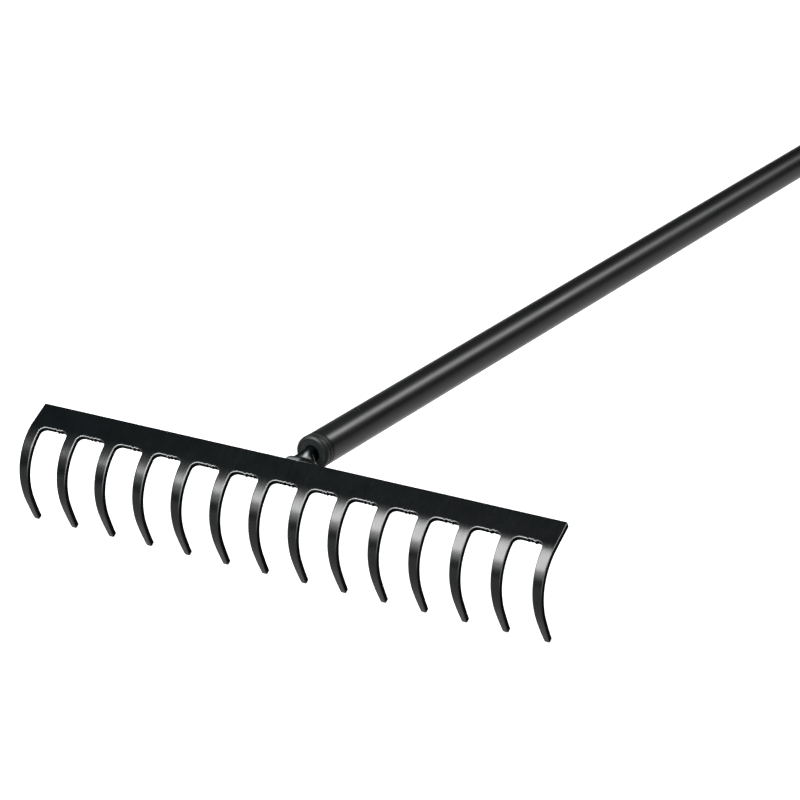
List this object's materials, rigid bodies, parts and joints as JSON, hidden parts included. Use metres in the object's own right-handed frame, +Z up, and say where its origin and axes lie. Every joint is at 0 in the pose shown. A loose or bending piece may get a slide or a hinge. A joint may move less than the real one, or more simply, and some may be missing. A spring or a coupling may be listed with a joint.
{
  "type": "garden rake",
  "caption": "Level-head garden rake: straight steel head with curved tines, welded tang, plastic collar and a long tubular steel handle with a hanging cap.",
  "frame": {"origin": "on the ground plane, under the middle of the rake's outer box, with the rake laid tines down", "axes": "+Z up from the ground; +X along the head; +Y from the head towards the far end of the handle, which lies 2.5 degrees below the handle's own axis"},
  "size_m": [0.3984, 1.4864, 0.0853],
  "materials": {
    "head_coat": "satin black powder coat over steel",
    "tube_coat": "satin black enamel over steel tube",
    "collar_plastic": "moulded black plastic, fine satin texture",
    "rivet_coat": "painted over with the tube, satin"
  },
  "bodies": {
    "root": {"rake_head": "head_coat", "tang": "head_coat", "weld_top": "head_coat", "weld_left": "head_coat", "weld_right": "head_coat", "front_collar": "collar_plastic", "collar_rivet": "rivet_coat", "handle_tube": "tube_coat", "end_cap": "collar_plastic"}
  },
  "joints": []
}
